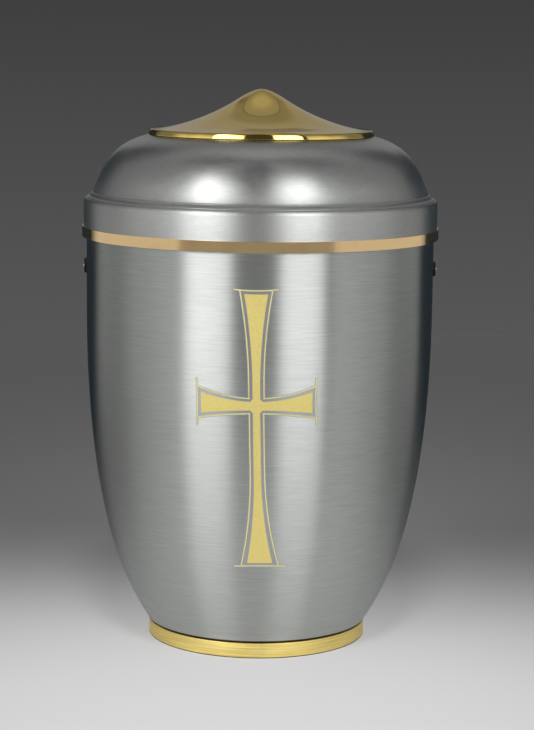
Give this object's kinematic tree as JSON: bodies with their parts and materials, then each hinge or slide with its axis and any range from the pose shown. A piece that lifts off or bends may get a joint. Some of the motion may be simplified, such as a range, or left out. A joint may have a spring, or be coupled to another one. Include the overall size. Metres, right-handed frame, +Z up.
{
  "type": "cremation urn",
  "caption": "Round metal cremation urn that narrows to a ringed foot, with a lift-off domed lid, a peaked top, a banded rim, side studs and a gilt cross on the front.",
  "frame": {"origin": "middle of the underside", "axes": "+Z up along the axis of the urn; the cross is on the front, which faces -Y; the studs are at -X and +X"},
  "size_m": [0.195, 0.195, 0.3024],
  "materials": {
    "steel": "turned and brushed round the axis, satin",
    "polished_brass": "polished",
    "brushed_brass": "brushed",
    "rose_gold": "bright strip",
    "gilt": "matte gilt",
    "black_plastic": "gloss",
    "bright_steel": "polished"
  },
  "bodies": {
    "root": {"body": "steel", "base_ring": "brushed_brass", "lid": "steel", "lid_band": "rose_gold", "lid_peak": "polished_brass", "cross": "gilt", "cross_outline": "gilt", "stud_left": "black_plastic", "rivet_left": "bright_steel", "stud_right": "black_plastic", "rivet_right": "bright_steel"}
  },
  "joints": []
}
